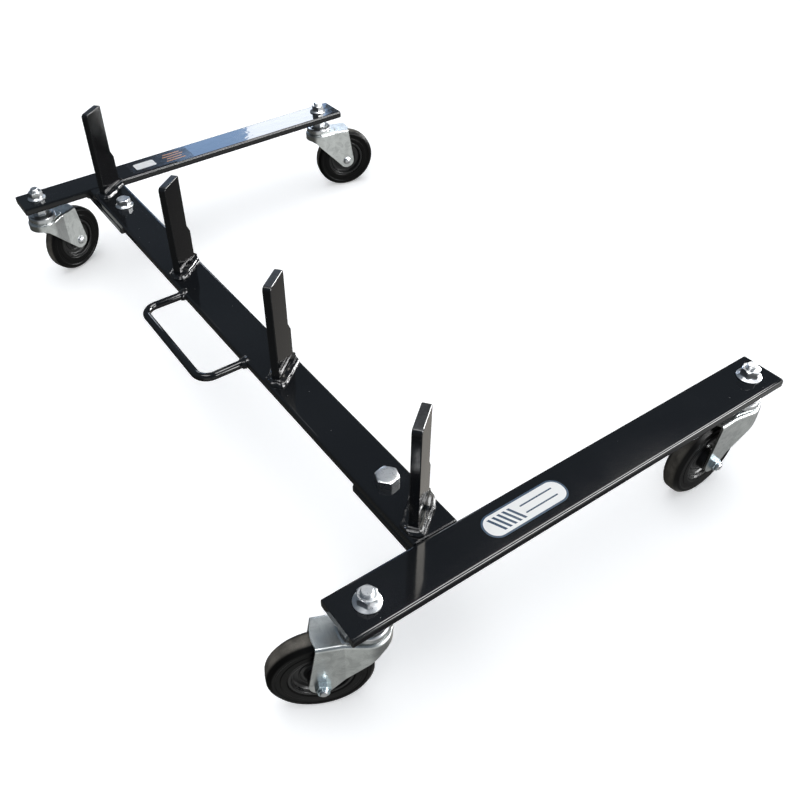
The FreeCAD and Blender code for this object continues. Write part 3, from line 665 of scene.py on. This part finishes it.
def stems(material):
    """Caster studs: rivet head, king pin, hexagon base and threaded end."""
    for name in CASTERS:
        low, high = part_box(f"{name}_stem")
        swivel = Vector(joints[f"{name}_swivel_turn"]["pos_m"])
        hex_low = DECK - DECK_THICKNESS - STEM_HEX_HEIGHT
        rivet = [(0.5 * MM, low.z), (5.0 * MM, low.z), (6.3 * MM, low.z + 0.25 * MM),
                 (7.4 * MM, low.z + 1.0 * MM), (8.3 * MM, low.z + 2.2 * MM), (8.5 * MM, low.z + 3.0 * MM)]
        pin = [(KING_PIN_RADIUS, low.z + 3.0 * MM), (KING_PIN_RADIUS, hex_low + MM)]
        collar = [(M12[0], DECK - DECK_THICKNESS), (M12[0], DECK - 0.5 * MM)]
        stud = threaded_stud("stud", rivet + pin + collar, *M12, DECK, high.z, material)
        hex_high = DECK - DECK_THICKNESS - 0.02 * MM
        base = hexagon_head("base", STEM_HEX_FLATS, hex_low, hex_high, material)
        base.data.transform(Matrix.Rotation(caster_heading(name), 4, "Z"))
        stem = joined(f"{name}_threaded_stem", [stud, base])
        stem.location = (swivel.x, swivel.y, 0)
        stand_for(stem, "frame", "zinc_fastener", f"{name}_stem")


def caster_heading(name):
    """Direction from the swivel's axis to the wheel's, seen from above."""
    swivel = Vector(joints[f"{name}_swivel_turn"]["pos_m"])
    wheel = Vector(joints[f"{name}_wheel_roll"]["pos_m"])
    return math.atan2(wheel.y - swivel.y, wheel.x - swivel.x)


def front_joint_bolt(material):
    """Hexagon bolt with a threaded shank."""
    low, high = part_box("front_joint_bolt")
    x, y = (low.x + high.x) / 2, (low.y + high.y) / 2
    shank = [(0.5 * MM, low.z), (M14[0] - 1.1 * MM, low.z)]
    thread_top = DECK - FRONT_BOLT_PLAIN
    shank_top = [(M14[0], thread_top), (M14[0], DECK)]
    rod = threaded_stud("rod", shank, *M14, low.z, thread_top, material)
    plain = lathed("plain", [(0.5 * MM, thread_top)] + shank_top + [(0.5 * MM, DECK)], material, 48)
    head = hexagon_head("head", FRONT_BOLT_FLATS, DECK, high.z, material, FRONT_BOLT_TURN)
    bolt = joined("front_hexagon_bolt", [rod, plain, head])
    bolt.location = (x, y, 0)
    stand_for(bolt, "frame", "zinc_fastener", "front_joint_bolt")


# ---- wheels ---------------------------------------------------------------------------------

TYRE_RADIUS = 50.8 * MM
TYRE_HALF = 10.5 * MM
CORE_RADIUS = 31.0 * MM


def mirrored(half):
    """Closed outline from the half of it on the +Z side."""
    return half + [Vector((point.x, -point.y)) for point in reversed(half)]


def tyre_outline():
    half_line = [
        (CORE_RADIUS + 0.05 * MM, TYRE_HALF - 0.6 * MM, 0), (CORE_RADIUS + 1.2 * MM, TYRE_HALF, 0.5 * MM),
        (37.5 * MM, TYRE_HALF, 0.4 * MM), (38.2 * MM, TYRE_HALF - 0.5 * MM, 0.3 * MM),
        (42.3 * MM, TYRE_HALF - 0.5 * MM, 0.3 * MM), (43.0 * MM, TYRE_HALF, 0.4 * MM),
        (46.0 * MM, TYRE_HALF, 2.5 * MM), (TYRE_RADIUS - 0.35 * MM, 6.4 * MM, 3.0 * MM),
        (TYRE_RADIUS - 0.12 * MM, 0.5 * MM, 0), (TYRE_RADIUS, 0.22 * MM, 0)]
    return mirrored(rounded([(r, z, bend) for r, z, bend in half_line], 6))


def core_outline():
    rim = TYRE_HALF - 0.8 * MM
    bore = 8.65 * MM
    half_line = [
        (bore, 14.4 * MM, 0), (12.6 * MM, 14.4 * MM, 0.8 * MM), (13.6 * MM, 6.2 * MM, 0.8 * MM),
        (15.6 * MM, 4.0 * MM, 1.2 * MM), (18.4 * MM, 4.0 * MM, 0.5 * MM), (18.8 * MM, 4.9 * MM, 0.3 * MM),
        (19.8 * MM, 4.9 * MM, 0.3 * MM), (20.2 * MM, 4.0 * MM, 0.5 * MM), (25.2 * MM, 4.0 * MM, 1.2 * MM),
        (26.9 * MM, 5.8 * MM, 0.8 * MM), (27.8 * MM, rim - 0.3 * MM, 0.4 * MM), (28.6 * MM, rim, 0.4 * MM),
        (30.6 * MM, rim, 0.3 * MM), (CORE_RADIUS, rim - 0.4 * MM, 0)]
    return mirrored(rounded(half_line, 5))


def wheels(rubber, plastic):
    """Tyres and wheel centres, turned about each axle."""
    tyre = lathed("tyre", tyre_outline(), rubber, 160)
    core = lathed("core", core_outline(), plastic, 128)
    for name in CASTERS:
        joint = joints[f"{name}_wheel_roll"]
        place = Vector(joint["pos_m"])
        tilt = Vector(joint["axis"]).to_track_quat("Z", "Y")
        for source, kind, slot in ((tyre, "tyre", "tyre_rubber"), (core, "wheel_core", "wheel_plastic")):
            piece = bpy.data.objects.new(f"{name}_moulded_{kind}", source.data)
            bpy.context.scene.collection.objects.link(piece)
            piece.location = place
            piece.rotation_mode = "QUATERNION"
            piece.rotation_quaternion = tilt
            stand_for(piece, f"{name}_wheel", slot, f"{name}_{kind}")
    for source in (tyre, core):
        bpy.data.objects.remove(source)


# ---- stickers -------------------------------------------------------------------------------

def rounded_rectangle(width, length, radius, steps=12):
    """Outline of a rectangle with round corners, centred on the origin."""
    points = []
    for sx, sy, start in ((1, 1, 0), (-1, 1, 90), (-1, -1, 180), (1, -1, 270)):
        for i in range(steps + 1):
            angle = math.radians(start + 90 * i / steps)
            points.append((sx * (width / 2 - radius) + radius * math.cos(angle),
                           sy * (length / 2 - radius) + radius * math.sin(angle)))
    return points


def slanted_bar(width, length, slant, y):
    """Outline of a bar across a sticker with slanted ends."""
    half = width / 2
    return [(-half, y - slant), (half, y + slant), (half, y + slant + length), (-half, y - slant + length)]


def film(name, outline, low, high, material):
    """Thin slab with the outline given."""
    count = len(outline)
    vertices = [(x, y, low) for x, y in outline] + [(x, y, high) for x, y in outline]
    faces = strip_faces(2, count)
    capped(vertices, faces, count)
    return mesh_object(name, vertices, faces, material)


def sticker(node, prints):
    """Printed sticker in place of a plain label node. prints are (name, outline, layer, material)."""
    low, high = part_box(node)
    for name, outline, layer, material in prints:
        thickness = high.z - low.z
        bottom = 0.0 if layer == 0 else thickness - 0.06 * MM
        piece = film(name, outline, bottom, thickness + 0.03 * MM * layer, material)
        piece.location = ((low.x + high.x) / 2, (low.y + high.y) / 2, low.z)
        stand_for(piece, "frame", "label_film", *([node] if layer == 0 else []))


def front_sticker(size, border, ground, accent):
    width, length = size
    rim = 2 * MM
    corner = width * 0.48
    outer = rounded_rectangle(width, length, corner)
    inner = rounded_rectangle(width - 2 * rim, length - 2 * rim, corner - rim)
    bars = [slanted_bar(width - 11 * MM, 3.0 * MM, 4.0 * MM, y * MM) for y in (-36, -30, -24, -18, -12)]
    prints = [("front_sticker_border", outer, 0, border), ("front_sticker_panel", inner, 1, ground)]
    for i, x in enumerate((-4.5, 4.5)):
        line = [(px + x * MM, py + 17 * MM) for px, py in rounded_rectangle(1.6 * MM, 40 * MM, 0.8 * MM, 4)]
        prints.append((f"front_sticker_line_{i + 1}", line, 2, accent))
    for i, bar in enumerate(bars):
        prints.append((f"front_sticker_bar_{i + 1}", bar, 2, accent))
    sticker("front_label", prints)


def rear_sticker(size, border, ground, accent):
    width, length = size
    outer = rounded_rectangle(width, length, 4 * MM)
    panel = [(x, y - 26 * MM) for x, y in rounded_rectangle(20 * MM, 34 * MM, 3 * MM)]
    prints = [("rear_sticker_border", outer, 0, border), ("rear_sticker_panel", panel, 1, ground)]
    for i, reach in enumerate((30, 36, 26, 33)):
        x = (i * 7.5 - 11.2) * MM
        shape = rounded_rectangle(3.0 * MM, reach * MM, 0.8 * MM, 4)
        bar = [(px + x, py + 24 * MM) for px, py in shape]
        prints.append((f"rear_sticker_bar_{i + 1}", bar, 1, accent))
    sticker("rear_label", prints)


# ---- studio ---------------------------------------------------------------------------------

def area_light(name, position, target, size, power, colour=(1, 1, 1), mirrored_only=False):
    """Soft panel that either lights the surfaces or shows in the glossy ones only."""
    data = bpy.data.lights.new(name, "AREA")
    data.shape = "RECTANGLE"
    data.size, data.size_y = size
    data.energy = power
    data.color = colour
    light = bpy.data.objects.new(name, data)
    bpy.context.scene.collection.objects.link(light)
    light.location = position
    direction = Vector(target) - Vector(position)
    light.rotation_euler = direction.to_track_quat("-Z", "Y").to_euler()
    light.visible_camera = False
    light.visible_diffuse = not mirrored_only
    light.visible_glossy = mirrored_only


def studio_walls():
    """Dim surroundings: dark blue above and grey below, with dark parts to the left and right."""
    world = bpy.data.worlds.new("studio")
    world.use_nodes = True
    tree = world.node_tree
    backdrop = tree.nodes["Background"]
    direction = tree.nodes.new("ShaderNodeTexCoord").outputs["Generated"]
    split = tree.nodes.new("ShaderNodeSeparateXYZ")
    tree.links.new(direction, split.inputs[0])

    def ramp(value, low, high):
        made = tree.nodes.new("ShaderNodeMapRange")
        tree.links.new(value, made.inputs["Value"])
        made.inputs["From Min"].default_value = low
        made.inputs["From Max"].default_value = high
        return made.outputs["Result"]

    def mixed(factor, a, b):
        made = tree.nodes.new("ShaderNodeMix")
        made.data_type = "RGBA"
        for socket, value in zip((made.inputs["Factor"], made.inputs[6], made.inputs[7]), (factor, a, b)):
            plug(tree, value, socket)
        return made.outputs[2]

    corner = tree.nodes.new("ShaderNodeVectorMath")
    corner.operation = "DOT_PRODUCT"
    tree.links.new(direction, corner.inputs[0])
    corner.inputs[1].default_value = (-0.6, -0.5, 0.0)
    across = corner.outputs["Value"]
    lit = mixed(ramp(split.outputs["X"], -0.1, 0.3), rgb(0.42, 0.40, 0.37), rgb(0.42, 0.43, 0.42))
    dark_right = mixed(ramp(across, -0.40, -0.15), rgb(0.09, 0.09, 0.095), lit)
    far_right = mixed(ramp(split.outputs["Z"], -0.70, -0.61), dark_right, rgb(0.60, 0.61, 0.60))
    around = mixed(ramp(split.outputs["X"], 0.05, 0.35), dark_right, far_right)
    below = mixed(ramp(across, -0.04, 0.14), around, rgb(0.07, 0.07, 0.065))
    above = rgb(0.11, 0.135, 0.165)
    tree.links.new(mixed(ramp(split.outputs["Z"], -0.10, 0.30), below, above), backdrop.inputs["Color"])
    bpy.context.scene.world = world


def studio_sweep(material):
    """Round floor that curves up into a plain wall."""
    segments = 96
    outline = rounded([(0.01, 0.0, 0), (9.5, 0.0, 2.5), (9.5, 9.0, 0)], 12)
    vertices = turned_rings(outline, segments)
    faces = strip_faces(len(outline), segments)
    faces.append(tuple(reversed(range(segments))))
    return mesh_object("studio_sweep", vertices, faces, material)


def studio():
    sweep = studio_sweep(sweep_paint("pale_sweep"))
    sweep.visible_glossy = False
    sweep.visible_diffuse = False
    studio_walls()
    centre = (0, 0, 0.1)
    front_bar = (0.45, 0.0, DECK)
    rear_bar = (-0.43, 0.15, DECK)
    area_light("overhead", (-0.3, 0.2, 3.6), centre, (4.0, 4.0), 100)
    area_light("key", (1.9, -2.4, 3.4), centre, (3.0, 3.0), 72)
    white, cream, straw, blue = (1, 1, 1), (1.0, 0.96, 0.88), (1.0, 0.93, 0.80), (0.40, 0.62, 1.0)
    mirrored_panels = (
        ("edge_panel_high", (0.55, 1.95, 3.0), (0.55, 1.95, 0), (1.35, 2.7), 145, white),
        ("edge_panel_low", (3.57, 2.1, 1.45), front_bar, (2.5, 1.2), 190, white),
        ("streak_panel", (-0.68, 1.9, 3.0), (-0.68, 1.9, 0), (0.5, 1.6), 12, cream),
        ("weld_panel", (0.2, 3.6, 1.1), centre, (1.6, 1.3), 260, white),
        ("zinc_panel", (0.2, -0.9, 3.4), centre, (1.6, 1.2), 36, white),
        ("pale_window", (-3.1, 1.63, 1.5), rear_bar, (0.40, 0.7), 4.7, straw),
        ("blue_window", (-3.2, 1.48, 1.52), rear_bar, (0.85, 0.7), 7.2, blue))
    for panel in mirrored_panels:
        area_light(*panel, mirrored_only=True)


def camera():
    data = bpy.data.cameras.new("camera")
    data.lens = 37.94
    data.sensor_width = 36
    data.shift_x = 0.086
    data.shift_y = -0.0256
    data.clip_end = 60
    eye = bpy.data.objects.new("camera", data)
    bpy.context.scene.collection.objects.link(eye)
    eye.location = (0.7856, -0.4804, 0.7590)
    eye.rotation_euler = [math.radians(angle) for angle in (48.689, 2.235, 57.024)]
    bpy.context.scene.camera = eye


# ---- the stand ------------------------------------------------------------------------------

def paint(material, *names):
    for name in names:
        mesh = nodes[name].data
        mesh.materials.clear()
        mesh.materials.append(material)


def per_caster(*kinds):
    return [f"{name}_{kind}" for name in CASTERS for kind in kinds]


def main():
    coat = black_coat("black_coat_smooth")
    blade_coat = black_coat("black_coat_blades", 0.15, 0.7 * MM, dulled=0.05, sawn_top=True)
    rear_coat = black_coat("black_coat_waved", waves=0.16 * MM)
    weld_coat = black_coat("black_coat_welds", 1.0, 0.0, dulled=0.07)
    fastener = zinc("zinc_fastener_bright", rgb(0.78, 0.79, 0.80), rgb(0.56, 0.58, 0.60), 0.30, 0.004 * MM)
    blue_zinc = zinc("zinc_fastener_blue", rgb(0.70, 0.82, 0.88), rgb(0.50, 0.60, 0.65), 0.30, 0.004 * MM)
    sheet = zinc("zinc_sheet_satin", rgb(0.76, 0.785, 0.775), rgb(0.48, 0.50, 0.495), 0.31, 0.010 * MM,
                 clouding=4.0, streaks=1.5)
    steel = polished_steel("bearing_steel_polished")
    plastic = moulded_plastic("wheel_plastic_black", rgb(0.0035, 0.0036, 0.0040),
                              rgb(0.0075, 0.0076, 0.0082), 0.30)
    bush = moulded_plastic("bush_plastic_grey", rgb(0.10, 0.10, 0.095), rgb(0.15, 0.15, 0.14), 0.45)
    rubber = tyre_rubber("tyre_rubber_black", TYRE_RADIUS, TYRE_HALF)

    paint(coat, "front_cross_bar", "main_bar", "front_stub_plate", "rear_stub_plate", "grab_handle")
    paint(rear_coat, "rear_cross_bar")
    paint(blade_coat, "upright_1", "upright_2", "upright_3", "upright_4")
    paint(fastener, "rear_joint_bolt", "joint_washers", "joint_nuts", "stem_nuts", "upper_races",
          "lower_races", *per_caster("axle_bolt", "axle_sleeve"))
    paint(blue_zinc, *per_caster("axle_nut"))
    paint(sheet, *per_caster("fork"))
    paint(steel, *per_caster("swivel_balls"))
    paint(bush, *per_caster("hub_bushes"))

    upright_beads(weld_coat)
    handle_beads(weld_coat)
    stub_beads(weld_coat)
    stems(fastener)
    front_joint_bolt(fastener)
    wheels(rubber, plastic)

    slate = printed_film("film_slate", rgb(0.045, 0.085, 0.14))
    white = printed_film("film_white", rgb(0.90, 0.90, 0.89))
    charcoal = printed_film("film_charcoal", rgb(0.012, 0.012, 0.014))
    amber = printed_film("film_amber", rgb(0.50, 0.24, 0.10))
    front_low, front_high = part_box("front_label")
    rear_low, rear_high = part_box("rear_label")
    front_sticker((front_high - front_low)[:2], slate, white, slate)
    rear_sticker((rear_high - rear_low)[:2], charcoal, white, amber)

    studio()
    camera()
    bpy.context.scene.view_settings.view_transform = "Standard"


main()
